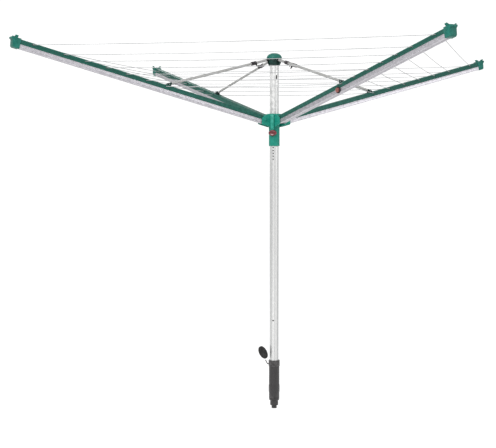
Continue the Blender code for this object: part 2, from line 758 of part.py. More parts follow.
def make_line():
    """One line goes round all four arms seven times, from the outer square to the inner one.

    Inside each arm it bends round through the cover's two side walls, and inside arm 1 it steps in
    to the next square. Each stretch between two arms sags a little.
    """
    points = []
    for turn, s in enumerate(LINE_S):
        for arm in ARMS:
            if arm > 1:
                points += [in_arm(arm, s + LINE_BEND_S, -LINE_BEND_Y, LINE_H)]
                points += [in_arm(arm, s + LINE_TURN_S, 0, LINE_H)]
            leaves = in_arm(arm, s + LINE_BEND_S, LINE_BEND_Y, LINE_H)
            reaches = in_arm(arm % 4 + 1, s + LINE_BEND_S, -LINE_BEND_Y, LINE_H)
            points += [leaves, (leaves + reaches) / 2 - Vector((0, 0, LINE_SAG))]
        points += [in_arm(1, s + LINE_BEND_S, -LINE_BEND_Y, LINE_H)]
        if turn + 1 < len(LINE_S):
            step_in = LINE_S[turn + 1] + LINE_STEP_FORE
            points += [in_arm(1, s + LINE_TURN_S, -LINE_DIP, LINE_H)]
            points += [in_arm(1, s + LINE_BEND_S, 0.001, LINE_H - LINE_DIP)]
            points += [in_arm(1, s - LINE_STEP_BACK, 0, LINE_H - 0.006)]
            points += [in_arm(1, step_in, 0, LINE_H - LINE_DIP)]
    curve = bpy.data.curves.new("clothes_line", "CURVE")
    curve.dimensions = "3D"
    curve.bevel_depth = LINE_R
    curve.bevel_resolution = 2
    curve.use_fill_caps = True
    spline = curve.splines.new("POLY")
    spline.points.add(len(points) - 1)
    for place, point in zip(spline.points, points):
        place.co = (*point, 1)
    curve.materials.append(material(LINE))
    bpy.context.collection.objects.link(bpy.data.objects.new("clothes_line", curve))


clear_scene()
make_ground_sleeve()
make_lid()
mast_frame = make_mast()
make_crown(mast_frame)
make_struts(mast_frame)
make_hub(mast_frame)
arm_frames = make_arms(mast_frame)
make_knob(arm_frames[4])
make_line()
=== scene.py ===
# %% [markdown]
# # A rotary clothesline
#
# A rotary clothesline is a mast that stands in a sleeve in the ground, four arms that fold up
# like an umbrella, and one line strung round them in squares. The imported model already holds
# every part at its real size and place. This lesson gives the parts their finished shapes and
# surfaces: round pieces are turned, long pieces are drawn as a section and pulled out, and
# moulded pieces get softened edges.

# %% Load the model and keep its size
from math import atan2, cos, pi, radians, sin

import bpy
from mathutils import Matrix, Vector


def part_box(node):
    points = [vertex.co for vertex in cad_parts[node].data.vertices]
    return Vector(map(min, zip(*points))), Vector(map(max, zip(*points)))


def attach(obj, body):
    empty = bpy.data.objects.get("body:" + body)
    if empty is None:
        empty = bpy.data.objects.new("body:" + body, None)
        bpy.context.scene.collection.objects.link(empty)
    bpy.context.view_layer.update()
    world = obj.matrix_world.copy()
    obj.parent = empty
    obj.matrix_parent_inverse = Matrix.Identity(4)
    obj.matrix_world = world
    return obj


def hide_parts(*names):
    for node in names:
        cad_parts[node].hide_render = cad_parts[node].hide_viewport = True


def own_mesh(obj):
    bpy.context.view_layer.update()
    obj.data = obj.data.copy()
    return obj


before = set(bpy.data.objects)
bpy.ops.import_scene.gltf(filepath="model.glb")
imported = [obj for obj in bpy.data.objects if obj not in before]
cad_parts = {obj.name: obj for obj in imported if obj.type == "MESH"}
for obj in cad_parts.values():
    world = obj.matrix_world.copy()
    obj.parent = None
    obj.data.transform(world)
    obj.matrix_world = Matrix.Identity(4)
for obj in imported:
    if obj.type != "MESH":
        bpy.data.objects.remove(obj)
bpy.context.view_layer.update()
ARMS = (1, 2, 3, 4)

# %% [markdown]
# ## Camera
#
# The camera stands a little below the arms, about six metres away, and looks almost level, so
# that the mast stays upright in the picture. The lens is a long one. A small upward shift of
# the picture makes room for the foot of the mast without tilting the camera down.

# %% Set the camera
IMAGE_WIDTH = 496
FOCAL_LENGTH = 1157.9 / IMAGE_WIDTH
CAMERA_PLACE = (-3.3772, -5.4755, 1.4243)
CAMERA_PITCH = radians(0.601)
CAMERA_TURN = radians(-30.369)
PICTURE_SHIFT = 60 / IMAGE_WIDTH

camera_data = bpy.data.cameras.new("camera")
camera_data.lens = camera_data.sensor_width * FOCAL_LENGTH
camera_data.shift_y = -PICTURE_SHIFT
camera = bpy.data.objects.new("camera", camera_data)
camera.location = CAMERA_PLACE
camera.rotation_euler = (pi / 2 - CAMERA_PITCH, 0, CAMERA_TURN)
bpy.context.scene.collection.objects.link(camera)
bpy.context.scene.camera = camera
print("camera with a lens of", round(camera_data.lens, 1), "mm")

# %% [markdown]
# ## Arm frame
#
# Everything on an arm is easiest to think of in the arm's own directions: S out along the arm
# from its pin, Y across, and H square to it and up. One matrix turns such a place on arm 1 into
# the model's frame, and a quarter turn about the mast takes it to each of the other arms.

# %% Set up the arm frame
ARM_RISE = radians(14.1)
PIN_LOW, PIN_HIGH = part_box("arm_1_root_pin")
ARM_PIN = (PIN_LOW + PIN_HIGH) / 2
ARM_FRAME = Matrix.Translation(ARM_PIN) @ Matrix.Rotation(-ARM_RISE, 4, "Y")


def quarter_turn(arm):
    return Matrix.Rotation(pi / 2 * (arm - 1), 4, "Z")


def on_arm(arm, s, y, h):
    return quarter_turn(arm) @ ARM_FRAME @ Vector((s, y, h))


print("arm pin", [round(x, 4) for x in ARM_PIN])

# %% [markdown]
# ## Clothes line
#
# The line is a thin plastic-covered cord. It goes through small windows in the side walls of the
# covers and makes seven squares. Each stretch between two arms hangs between two fixed ends,
# nearly straight, with a few millimetres of sag. A stretch is a tube swept along points on a
# shallow parabola. Its own UV map runs along and round the cord, so the twist of the sheath can
# follow it.
#
# The stretches ride on the arm that they leave.

# %% Sweep the stretches of line
LINE_S = (1.3775, 1.2074, 1.0908, 0.9743, 0.8578, 0.7413, 0.6248)
LINE_H = 0.014
LINE_R = 0.0016
LINE_SAG = 0.007
LINE_BEND_S = 0.006
LINE_BEND_Y = 0.012
LINE_POINTS = 25
LINE_SIDES = 10


def sagging(start, end, sag):
    points = []
    for step in range(LINE_POINTS):
        t = step / (LINE_POINTS - 1)
        points.append(start.lerp(end, t) - Vector((0, 0, 4 * sag * t * (1 - t))))
    return points


def swept_tube(name, points, radius, sides):
    """A closed round tube along points that run nearly level, with a UV map round and along it."""
    ahead = (points[-1] - points[0]).normalized()
    across = ahead.cross(Vector((0, 0, 1))).normalized()
    upward = across.cross(ahead)
    corners = []
    for point in points:
        for k in range(sides):
            angle = 2 * pi * k / sides
            corners.append(point + radius * (cos(angle) * across + sin(angle) * upward))
    faces = [tuple(reversed(range(sides)))]
    for ring in range(len(points) - 1):
        for k in range(sides):
            a, b = ring * sides + k, ring * sides + (k + 1) % sides
            faces.append((a, b, b + sides, a + sides))
    last = (len(points) - 1) * sides
    faces.append(tuple(range(last, last + sides)))
    mesh = bpy.data.meshes.new(name)
    mesh.from_pydata(corners, [], faces)
    uv = mesh.uv_layers.new(name="along")
    step = (points[1] - points[0]).length
    for polygon in mesh.polygons:
        for loop in polygon.loop_indices:
            corner = mesh.loops[loop].vertex_index
            uv.data[loop].uv = ((corner % sides) / sides, corner // sides * step)
    mesh.shade_smooth()
    tube = bpy.data.objects.new(name, mesh)
    bpy.context.scene.collection.objects.link(tube)
    return tube


lines = []
for square, s in enumerate(LINE_S, 1):
    for arm in ARMS:
        leaves = on_arm(arm, s + LINE_BEND_S, LINE_BEND_Y, LINE_H)
        reaches = on_arm(arm % 4 + 1, s + LINE_BEND_S, -LINE_BEND_Y, LINE_H)
        route = sagging(leaves, reaches, LINE_SAG)
        stretch = swept_tube(f"line_{square}_{arm}", route, LINE_R, LINE_SIDES)
        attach(stretch, f"arm_{arm}")
        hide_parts("clothes_line")
        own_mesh(stretch)
        lines.append(stretch)
print(len(lines), "stretches of line")

# %% [markdown]
# ## Floor and light
#
# A pale floor and soft white light from all round show the colours as they are. One large lamp
# from the upper left gives the round pieces a bright side, a second one from the right fills the
# shade, and a third from behind draws a thin bright edge on the tubes.
#
# A white studio sweep has to be white in the picture and yet not wash out the colours. Here the
# camera alone sees it that bright: Light Path tells its rays from the ones that carry light. The
# Standard view shows each colour as it is, where Blender's own AgX view would turn white grey.

# %% Lay the floor
bpy.ops.object.select_all(action="DESELECT")
bpy.ops.mesh.primitive_circle_add(vertices=96, radius=60, fill_type="NGON", location=(0, 0, 0))
floor = bpy.context.object
floor.name = "floor"
SWEEP_WHITE = 1.1
SWEEP_SHARE = 0.9

paint = bpy.data.materials.new("floor_paint")
paint.use_nodes = True
tree = paint.node_tree
shader = tree.nodes["Principled BSDF"]
shader.inputs["Base Color"].default_value = (0.90, 0.90, 0.90, 1)
shader.inputs["Roughness"].default_value = 0.9
glow = tree.nodes.new("ShaderNodeEmission")
glow.inputs["Strength"].default_value = SWEEP_WHITE
seen = tree.nodes.new("ShaderNodeLightPath")
share = tree.nodes.new("ShaderNodeMath")
share.operation = "MULTIPLY"
share.inputs[1].default_value = SWEEP_SHARE
blend = tree.nodes.new("ShaderNodeMixShader")
tree.links.new(seen.outputs["Is Camera Ray"], share.inputs[0])
tree.links.new(share.outputs[0], blend.inputs["Fac"])
tree.links.new(shader.outputs[0], blend.inputs[1])
tree.links.new(glow.outputs[0], blend.inputs[2])
tree.links.new(blend.outputs[0], tree.nodes["Material Output"].inputs["Surface"])
floor.data.materials.append(paint)
print("floor", floor.name)

# %% Hang the lamps
LAMPS = {
    "key": ((-4.5, -3.0, 5.0), 3.0, 420),
    "fill": ((4.0, -5.5, 3.0), 4.0, 110),
    "edge": ((1.0, 6.0, 4.0), 3.0, 120),
}
SKY_LIGHT = 0.9

world = bpy.data.worlds.new("studio")
world.use_nodes = True
tree = world.node_tree
sky = tree.nodes["Background"]
sky.inputs["Color"].default_value = (1, 1, 1, 1)
seen = tree.nodes.new("ShaderNodeLightPath")
level = tree.nodes.new("ShaderNodeMapRange")
level.inputs["To Min"].default_value = SKY_LIGHT
level.inputs["To Max"].default_value = SWEEP_WHITE
tree.links.new(seen.outputs["Is Camera Ray"], level.inputs["Value"])
tree.links.new(level.outputs[0], sky.inputs["Strength"])
bpy.context.scene.world = world
bpy.context.scene.view_settings.view_transform = "Standard"
AIM = Vector((0, 0, 1.5))
for name, (place, size, power) in LAMPS.items():
    lamp_data = bpy.data.lights.new(name, "AREA")
    lamp_data.size = size
    lamp_data.energy = power
    lamp = bpy.data.objects.new(name, lamp_data)
    lamp.location = place
    lamp.rotation_euler = (AIM - lamp.location).to_track_quat("-Z", "Y").to_euler()
    bpy.context.scene.collection.objects.link(lamp)
print(len(LAMPS), "lamps")

# %% [markdown]
# ## Node helper
#
# A material is a tree of nodes. This helper adds one node, sets its plain inputs and links the
# inputs that are given as another node's output, so that each effect below reads as a short list.

# %% Make the node helper
def place(tree, kind, inputs=None, **settings):
    node = tree.nodes.new("ShaderNode" + kind)
    for name, value in settings.items():
        setattr(node, name, value)
    for name, value in (inputs or {}).items():
        if isinstance(value, bpy.types.NodeSocket):
            tree.links.new(value, node.inputs[name])
        else:
            node.inputs[name].default_value = value
    return node


def new_group(name, inputs, outputs):
    """An empty shader group with named number inputs and outputs, and its two end nodes."""
    group = bpy.data.node_groups.new(name, "ShaderNodeTree")
    for label, value in inputs.items():
        kind = "NodeSocketFloat" if isinstance(value, float) else "NodeSocketVector"
        socket = group.interface.new_socket(name=label, in_out="INPUT", socket_type=kind)
        socket.default_value = value
    for label in outputs:
        group.interface.new_socket(name=label, in_out="OUTPUT", socket_type="NodeSocketFloat")
    start = group.nodes.new("NodeGroupInput").outputs
    end = group.nodes.new("NodeGroupOutput").inputs
    return group, start, end


def spread(tree, value, low, high, to_low=0.0, to_high=1.0):
    """Stretches the range low to high of a number over to_low to to_high."""
    limits = {"Value": value, "From Min": low, "From Max": high}
    return place(tree, "MapRange", {**limits, "To Min": to_low, "To Max": to_high}).outputs[0]


def product(tree, a, b):
    return place(tree, "Math", {0: a, 1: b}, operation="MULTIPLY").outputs[0]


print("helpers ready")

# %% [markdown]
# ## Moulded skin
#
# Moulded plastic has a fine pebbled grain from the mould, and its colour is never quite even,
# because the pigment flows with the melt. One group gives both: a height for the grain, and a
# slow tone from 0 to 1 that the material uses to shift its colour and gloss.

# %% Build the moulded skin group
skin, given, result = new_group("moulded_skin", {"Grain": 900.0, "Cloud": 14.0}, ("Height", "Tone"))
where = place(skin, "TexCoord").outputs["Object"]
pebbles = place(skin, "TexNoise", {"Vector": where, "Scale": given["Grain"], "Detail": 1.0})
flow = place(skin, "TexNoise", {"Vector": where, "Scale": given["Cloud"], "Detail": 5.0})
skin.links.new(pebbles.outputs[0], result["Height"])
skin.links.new(spread(skin, flow.outputs[0], 0.35, 0.65), result["Tone"])
print("group", skin.name)

# %% [markdown]
# ## Worn edges
#
# Corners are touched, knocked and rubbed first, so they lose their grain and turn paler. The
# geometry's pointiness finds the convex edges, and a noise breaks the line up, so that the wear
# comes and goes as it does in use.

# %% Build the worn edge group
wear, given, result = new_group("worn_edge", {"Start": 0.515, "Width": 0.05, "Patch": 60.0},
                                ("Mask",))
point = place(wear, "NewGeometry").outputs["Pointiness"]
far = place(wear, "Math", {0: given["Start"], 1: given["Width"]}, operation="ADD").outputs[0]
ridge = spread(wear, point, given["Start"], far)
where = place(wear, "TexCoord").outputs["Object"]
patches = place(wear, "TexNoise", {"Vector": where, "Scale": given["Patch"], "Detail": 4.0})
wear.links.new(product(wear, ridge, spread(wear, patches.outputs[0], 0.4, 0.6)), result["Mask"])
print("group", wear.name)

# %% [markdown]
# ## Settled dust
#
# The clothesline stands outdoors. A thin pale film settles on faces that look up and gathers
# in drifts. The mask takes how far a face looks up, times a soft noise.

# %% Build the dust group
dust, given, result = new_group("settled_dust", {"Amount": 0.2}, ("Mask",))
facing = place(dust, "SeparateXYZ", {0: place(dust, "NewGeometry").outputs["Normal"]})
upward = spread(dust, facing.outputs["Z"], 0.3, 1.0)
where = place(dust, "TexCoord").outputs["Object"]
drifts = place(dust, "TexNoise", {"Vector": where, "Scale": 35.0, "Detail": 6.0})
film = product(dust, upward, spread(dust, drifts.outputs[0], 0.35, 0.75))
dust.links.new(product(dust, film, given["Amount"]), result["Mask"])
print("group", dust.name)

# %% [markdown]
# ## Drawn lines
#
# Aluminium tube and channel are pushed through a die, which leaves fine lines along the length.
# The group stretches two noises along X: a fine one for the lines themselves and a broad one for
# the bands of tone that run the whole length of a bar. A material turns its coordinates first, so
# that X runs along its own piece.

# %% Build the drawn lines group
drawn, given, result = new_group("drawn_lines", {"Along": (0, 0, 0), "Lines": 420.0, "Bands": 75.0},
                                 ("Height", "Tone"))
squeezed = place(drawn, "VectorMath", {0: given["Along"], 1: (0.004, 1, 1)}, operation="MULTIPLY")
lines_fine = place(drawn, "TexNoise", {"Vector": squeezed.outputs[0], "Scale": given["Lines"],
                                       "Detail": 3.0})
bands = place(drawn, "TexNoise", {"Vector": squeezed.outputs[0], "Scale": given["Bands"],
                                  "Detail": 1.0})
drawn.links.new(lines_fine.outputs[0], result["Height"])
drawn.links.new(spread(drawn, bands.outputs[0], 0.36, 0.64), result["Tone"])
print("group", drawn.name)


# %% [markdown]
# ## Plastic
#
# Every moulded piece is the same kind of surface with other numbers: two neighbouring colours for
# the flow of the pigment, a paler one on worn edges, a film of dust, and the grain as a bump.
# The Principled shader stays in the material, and the groups only feed its sockets.

# %% Make the plastics
DUST_COLOUR = (0.52, 0.51, 0.47, 1)
GRAIN_HEIGHT = 0.0002


def group_node(tree, group, **inputs):
    return place(tree, "Group", inputs, node_tree=group).outputs


def blended(tree, factor, first, second):
    mix = place(tree, "Mix", {0: factor, 6: first, 7: second}, data_type="RGBA")
    return mix.outputs[2]


def new_material(name):
    material = bpy.data.materials.new(name)
    material.use_nodes = True
    return material, material.node_tree, material.node_tree.nodes["Principled BSDF"]


def bumped(tree, shader, height, strength, distance):
    bump = place(tree, "Bump", {"Height": height, "Strength": strength, "Distance": distance})
    tree.links.new(bump.outputs["Normal"], shader.inputs["Normal"])


def plastic(name, colour, deep, worn, gloss, grain=900.0, film=0.07, strength=0.25, shine=0.2):
    """gloss is the roughness of its smoothest and its dullest patches."""
    material, tree, shader = new_material(name)
    surface = group_node(tree, skin, Grain=grain)
    edges = group_node(tree, wear)["Mask"]
    settled = group_node(tree, dust, Amount=film)["Mask"]
    base = blended(tree, surface["Tone"], (*deep, 1), (*colour, 1))
    rubbed = blended(tree, edges, base, (*worn, 1))
    tree.links.new(blended(tree, settled, rubbed, DUST_COLOUR), shader.inputs["Base Color"])
    smooth = spread(tree, surface["Tone"], 0, 1, gloss[0], gloss[1])
    dull = place(tree, "Math", {0: smooth, 1: settled}, operation="ADD", use_clamp=True)
    tree.links.new(dull.outputs[0], shader.inputs["Roughness"])
    shader.inputs["Specular IOR Level"].default_value = shine
    bumped(tree, shader, surface["Height"], strength, GRAIN_HEIGHT)
    return material


GREEN = plastic("teal_moulding", (0.004, 0.165, 0.120), (0.004, 0.140, 0.102),
                (0.02, 0.21, 0.16), (0.40, 0.52))
# The cover green is partly the covers' own deeper green and partly painted shade, darkened to look
# like their shaded sides.
COVER_GREEN_PAINTED_SHADE = plastic("cover_green_painted_shade", (0.004, 0.054, 0.040), (0.004, 0.047, 0.035),
                      (0.010, 0.075, 0.058), (0.42, 0.54), grain=700.0)
# The end cap green is partly the caps' own green and partly painted shade for their shaded sides;
# the lamps light their outer faces.
END_GREEN_PAINTED_SHADE = plastic("end_cap_green_painted_shade", (0.003, 0.084, 0.064), (0.003, 0.072, 0.055),
                    (0.015, 0.14, 0.11), (0.40, 0.52))
CAP_GREEN = plastic("cap_green", (0.007, 0.095, 0.073), (0.006, 0.083, 0.063),
                    (0.03, 0.17, 0.14), (0.42, 0.54))
DEEP_GREEN = plastic("deep_green_moulding", (0.001, 0.017, 0.013), (0.001, 0.011, 0.009),
                     (0.008, 0.045, 0.036), (0.44, 0.56))
CHARCOAL = plastic("charcoal_sleeve", (0.013, 0.0115, 0.012), (0.010, 0.009, 0.0095),
                   (0.05, 0.047, 0.048), (0.34, 0.46), grain=600.0, film=0.025, strength=0.3,
                   shine=0.5)
BLACK = plastic("black_moulding", (0.011, 0.008, 0.010), (0.006, 0.005, 0.006),
                (0.04, 0.035, 0.04), (0.4, 0.54))
RUBBER = plastic("black_rubber", (0.007, 0.007, 0.007), (0.004, 0.004, 0.004),
                 (0.015, 0.015, 0.015), (0.62, 0.8), grain=450.0, film=0.015, strength=0.5)
RED = plastic("crimson_button", (0.085, 0.004, 0.008), (0.060, 0.003, 0.006),
              (0.30, 0.03, 0.04), (0.20, 0.30), film=0.03, shine=0.5)
BROWN = plastic("rust_red_knob", (0.18, 0.050, 0.042), (0.12, 0.034, 0.028),
                (0.36, 0.14, 0.11), (0.28, 0.4), film=0.03, shine=0.5)
print("plastics made")

# %% [markdown]
# ## Drawn metal
#
# The mast and the channels are anodised aluminium, and the struts are coated a light grey. All of
# them show lines along their length, so each material turns its coordinates with a Mapping node
# until X runs along its own tube. There is one such material for each direction.

# %% Make the metals
BARE_GAIN = 1.15
DRAWN_HEIGHT = 0.0001


def metal(name, bright, dark, gloss, turn, metallic=1.0, film=0.12, strength=0.12, bare=0.53):
    """turn carries the model's directions into the piece's own, with X along it.

    bare is the pointiness from which an edge is rubbed bare: a thin round tube needs a high one.
    """
    material, tree, shader = new_material(name)
    where = place(tree, "TexCoord").outputs["Object"]
    along = place(tree, "Mapping", {"Vector": where, "Rotation": turn.to_euler("XYZ")})
    lines_of = group_node(tree, drawn, Along=along.outputs[0])
    settled = group_node(tree, dust, Amount=film)["Mask"]
    edges = group_node(tree, wear, Start=bare)["Mask"]
    base = blended(tree, lines_of["Tone"], (*dark, 1), (*bright, 1))
    rubbed = blended(tree, edges, base, (*(BARE_GAIN * part for part in bright), 1))
    tree.links.new(blended(tree, settled, rubbed, DUST_COLOUR), shader.inputs["Base Color"])
    rough = spread(tree, lines_of["Tone"], 0, 1, gloss[1], gloss[0])
    tree.links.new(rough, shader.inputs["Roughness"])
    shader.inputs["Metallic"].default_value = metallic
    bumped(tree, shader, lines_of["Height"], strength, DRAWN_HEIGHT)
    return material


def along_arm(arm, slope):
    """Turns X onto an arm, or onto a strut with a falling slope."""
    place_of = Matrix.Rotation(pi / 2 * (arm - 1), 3, "Z") @ Matrix.Rotation(-slope, 3, "Y")
    return place_of.inverted()


UPRIGHT = Matrix.Rotation(pi / 2, 3, "Y")
MAST_METAL = metal("mast_aluminium", (0.52, 0.52, 0.515), (0.36, 0.365, 0.365), (0.26, 0.38),
                   UPRIGHT, metallic=0.55)
# The bore is the same aluminium; its near-black colour is painted shade inside the tube.
BORE_PAINTED_SHADE = metal("mast_bore_painted_shade", (0.075, 0.072, 0.075), (0.04, 0.04, 0.04), (0.6, 0.7), UPRIGHT)
CHANNEL_METAL = {arm: metal(f"channel_aluminium_{arm}", (0.37, 0.36, 0.385), (0.30, 0.29, 0.315),
                            (0.28, 0.42), along_arm(arm, ARM_RISE), metallic=0.7) for arm in ARMS}
STEEL = metal("bright_steel", (0.72, 0.72, 0.73), (0.50, 0.50, 0.52), (0.2, 0.34), UPRIGHT)
print("metals made")

# %% [markdown]
# ## Coated struts and line sheath
#
# The struts are coated a light grey, which is a soft satin with the faint lines of the tube
# showing through. The line's sheath is pale plastic with a slight twist: a wave on the cord's own
# UV map, run along its length, gives the rounded turns.

# %% Make the strut coating and the sheath
STRUT_NEAR = (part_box("crown_pin_1")[0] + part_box("crown_pin_1")[1]) / 2
STRUT_FAR = (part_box("bracket_pin_1")[0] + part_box("bracket_pin_1")[1]) / 2
STRUT_SLOPE = atan2(STRUT_FAR.z - STRUT_NEAR.z, STRUT_FAR.x - STRUT_NEAR.x)
STRUT_GREY = {arm: metal(f"strut_coating_{arm}", (0.30, 0.30, 0.295), (0.22, 0.22, 0.215),
                         (0.34, 0.46), along_arm(arm, STRUT_SLOPE), metallic=0.35, film=0.05,
                         bare=0.8) for arm in ARMS}

TURNS_PER_METRE = 160.0
TWIST_STRENGTH, TWIST_HEIGHT = 0.3, 0.0002
SHEATH, tree, shader = new_material("line_sheath")
along_line = place(tree, "UVMap", uv_map="along").outputs[0]
twist = place(tree, "Mapping", {"Vector": along_line, "Scale": (1.0, TURNS_PER_METRE, 1.0)})
turns = place(tree, "TexWave", {"Vector": twist.outputs[0], "Scale": 0.5},
              bands_direction="DIAGONAL")
where = place(tree, "TexCoord").outputs["Object"]
grime = spread(tree, place(tree, "TexNoise", {"Vector": where, "Scale": 9.0}).outputs[0], 0.4, 0.62)
tree.links.new(blended(tree, grime, (0.30, 0.305, 0.31, 1), (0.22, 0.225, 0.23, 1)),
               shader.inputs["Base Color"])
tree.links.new(spread(tree, grime, 0, 1, 0.42, 0.6), shader.inputs["Roughness"])
bumped(tree, shader, turns.outputs[1], TWIST_STRENGTH, TWIST_HEIGHT)
for stretch in lines:
    stretch.data.materials.append(SHEATH)
print("strut slope", round(STRUT_SLOPE, 4))

# %% [markdown]
# ## Turned pieces
#
# The cap, the ground sleeve, the mast and the button are round. Each starts as a small plane that
# is merged to one point. The point is drawn along half of the outline by extruding it, and the
# outline is spun round the axis. Points on the axis and at the seam meet after the spin, so the
# doubles are merged and the faces are turned outwards.

# %% Write the turning helper
def finish_mesh(piece, angle=30):
    """Shades a piece smooth up to a crease angle and leaves it alone in the selection."""
    bpy.ops.object.mode_set(mode="OBJECT")
    bpy.ops.object.select_all(action="DESELECT")
    piece.select_set(True)
    bpy.context.view_layer.objects.active = piece
    bpy.ops.object.shade_smooth_by_angle(angle=radians(angle))


def drawn_outline(name, outline):
    """One chain of edges through (x, y, z) points, left in edit mode with all of it selected."""
    bpy.ops.object.select_all(action="DESELECT")
    bpy.ops.mesh.primitive_plane_add(size=0.01, location=(0, 0, 0))
    piece = bpy.context.object
    piece.name = piece.data.name = name
    bpy.ops.object.mode_set(mode="EDIT")
    bpy.ops.mesh.merge(type="CENTER")
    bpy.ops.transform.translate(value=outline[0])
    for a, b in zip(outline, outline[1:]):
        bpy.ops.mesh.extrude_vertices_move(TRANSFORM_OT_translate={"value": Vector(b) - Vector(a)})
    bpy.ops.mesh.select_all(action="SELECT")
    return piece


def turned(name, profile, steps=64, closed=False):
    """profile is (radius, height) pairs up the outside, in metres, about the model's Z axis."""
    outline = [(r, 0, z) for r, z in profile]
    piece = drawn_outline(name, outline + outline[:1] if closed else outline)
    bpy.ops.mesh.spin(steps=steps, angle=2 * pi, center=(0, 0, 0), axis=(0, 0, 1))
    bpy.ops.mesh.select_all(action="SELECT")
    bpy.ops.mesh.remove_doubles(threshold=0.00001)
    bpy.ops.mesh.normals_make_consistent(inside=False)
    finish_mesh(piece)
    return piece


def rounded(profile, corners, radius, steps=4):
    """Swaps the named corners of a profile for short arcs, so that they catch the light."""
    result = []
    for index, point in enumerate(profile):
        if index not in corners:
            result.append(point)
            continue
        here = Vector(point)
        back = here + (Vector(profile[index - 1]) - here).normalized() * radius
        ahead = here + (Vector(profile[(index + 1) % len(profile)]) - here).normalized() * radius
        for step in range(steps + 1):
            t = step / steps
            result.append(tuple((1 - t) ** 2 * back + 2 * t * (1 - t) * here + t * t * ahead))
    return result


def settle(piece, body, slot, material, *nodes):
    """Gives a finished piece its body and material, and hides the nodes that it stands for. slot is
    not used.
    """
    piece.data.materials.clear()
    piece.data.materials.append(material)
    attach(piece, body)
    if nodes:
        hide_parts(*nodes)
    return piece


def apply_modifier(piece, kind, **settings):
    bpy.ops.object.select_all(action="DESELECT")
    piece.select_set(True)
    bpy.context.view_layer.objects.active = piece
    modifier = piece.modifiers.new(kind.title(), kind)
    for name, value in settings.items():
        setattr(modifier, name, value)
    bpy.ops.object.modifier_apply(modifier=modifier.name)


def softened(piece, width, segments=2, crease=28):
    """Rounds every edge that is sharper than the crease angle."""
    apply_modifier(piece, "BEVEL", width=width, segments=segments, limit_method="ANGLE",
                   angle_limit=radians(crease), use_clamp_overlap=True)
    finish_mesh(piece, 40)
    return piece


def cut_out(piece, cutter):
    apply_modifier(piece, "BOOLEAN", operation="DIFFERENCE", object=cutter)
    bpy.data.objects.remove(cutter)


print("turning helpers ready")

# %% [markdown]
# ## Ground sleeve
#
# The sleeve is a plastic tube with a collar round its mouth, a slight swelling halfway and a tip
# in two steps. The collar has two fine grooves. Its profile is drawn up the outside and down the
# bore, with its corners rounded, so that it is one closed wall.

# %% Turn the ground sleeve
SLEEVE_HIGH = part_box("ground_sleeve")[1]
SLEEVE_TOP = SLEEVE_HIGH.z
COLLAR_R = SLEEVE_HIGH.x
COLLAR_LOW = SLEEVE_TOP - 0.033
SLEEVE_R = COLLAR_R - 0.0020
BORE_R = 0.0256
FLOOR_Z = 0.0465
TIP_R, STEP_R = 0.0145, 0.0225


def groove(radius, z, depth=0.0006, half=0.0007):
    return [(radius, z - half), (radius - depth, z - half / 2), (radius - depth, z + half / 2),
            (radius, z + half)]


profile = [(0, 0), (TIP_R, 0), (TIP_R, 0.017), (STEP_R, 0.017), (STEP_R, 0.042), (SLEEVE_R, 0.048)]
profile = rounded(profile, (1, 3, 4, 5), 0.0014)
profile += groove(SLEEVE_R, 0.058) + groove(SLEEVE_R, 0.064)
profile += [(SLEEVE_R, 0.085), (SLEEVE_R + 0.0004, 0.0885), (SLEEVE_R + 0.0011, 0.0925)]
profile += [(SLEEVE_R + 0.0015, 0.097), (SLEEVE_R + 0.0015, 0.123), (SLEEVE_R + 0.0011, 0.1275)]
profile += [(SLEEVE_R + 0.0004, 0.1315), (SLEEVE_R, 0.135), (SLEEVE_R, COLLAR_LOW - 0.0008)]
profile += [(COLLAR_R - 0.0008, COLLAR_LOW), (COLLAR_R, COLLAR_LOW + 0.0008)]
profile += groove(COLLAR_R, COLLAR_LOW + 0.0085) + groove(COLLAR_R, SLEEVE_TOP - 0.0060)
profile += [(COLLAR_R, SLEEVE_TOP - 0.0012), (COLLAR_R - 0.0012, SLEEVE_TOP)]
profile += [(BORE_R + 0.0008, SLEEVE_TOP), (BORE_R, SLEEVE_TOP - 0.0008)]
profile += [(BORE_R, FLOOR_Z), (0, FLOOR_Z)]
sleeve = turned("sleeve", profile, steps=72)
settle(sleeve, "ground", "charcoal_plastic", CHARCOAL, "ground_sleeve")
print("sleeve", len(sleeve.data.polygons), "faces")

# %% [markdown]
# ## Lid and strap
#
# A shallow lid closes the sleeve when the mast is taken out. It hangs on a rubber strap beside the
# mast. Inside it has rings and spokes that stiffen it, and its rim has small grip ribs. It is
# turned flat, the ribs are added round it, and then its mesh is taken to its leaning place.

# %% Make the lid
LID_R = 0.0365
LID_DEPTH = 0.009
LID_AZIMUTH = radians(148.3)
LID_REACH = 0.062
LID_Z = 0.308
LID_LEAN = radians(22.5)
LID_TWIST = radians(36)
LID_SPOKES = 8
LID_GRIPS = 36
LID_WALL = 0.0035
LID_RINGS = (0.024, 0.014)
RING_WIDTH = 0.0016


def added_box(low, high):
    """A box between two corners, added in edit mode or on its own, left selected."""
    middle = (Vector(low) + Vector(high)) / 2
    bpy.ops.mesh.primitive_cube_add(size=1, location=middle, scale=Vector(high) - Vector(low))


def box_piece(name, *corners):
    """One object made of boxes, each given by its lowest and highest corner."""
    bpy.ops.object.select_all(action="DESELECT")
    added_box(*corners[0])
    piece = bpy.context.object
    piece.name = piece.data.name = name
    bpy.ops.object.transform_apply(location=True, rotation=True, scale=True)
    bpy.ops.object.mode_set(mode="EDIT")
    for low, high in corners[1:]:
        added_box(low, high)
    bpy.ops.object.mode_set(mode="OBJECT")
    return piece


def joined(name, *pieces):
    bpy.ops.object.select_all(action="DESELECT")
    for piece in pieces:
        piece.select_set(True)
    bpy.context.view_layer.objects.active = pieces[0]
    bpy.ops.object.join()
    pieces[0].name = name
    return pieces[0]


def copied(piece, name, matrix):
    """A copy with its own mesh, moved by a matrix that is put into the mesh."""
    copy = bpy.data.objects.new(name, piece.data.copy())
    bpy.context.scene.collection.objects.link(copy)
    copy.data.transform(matrix)
    return copy


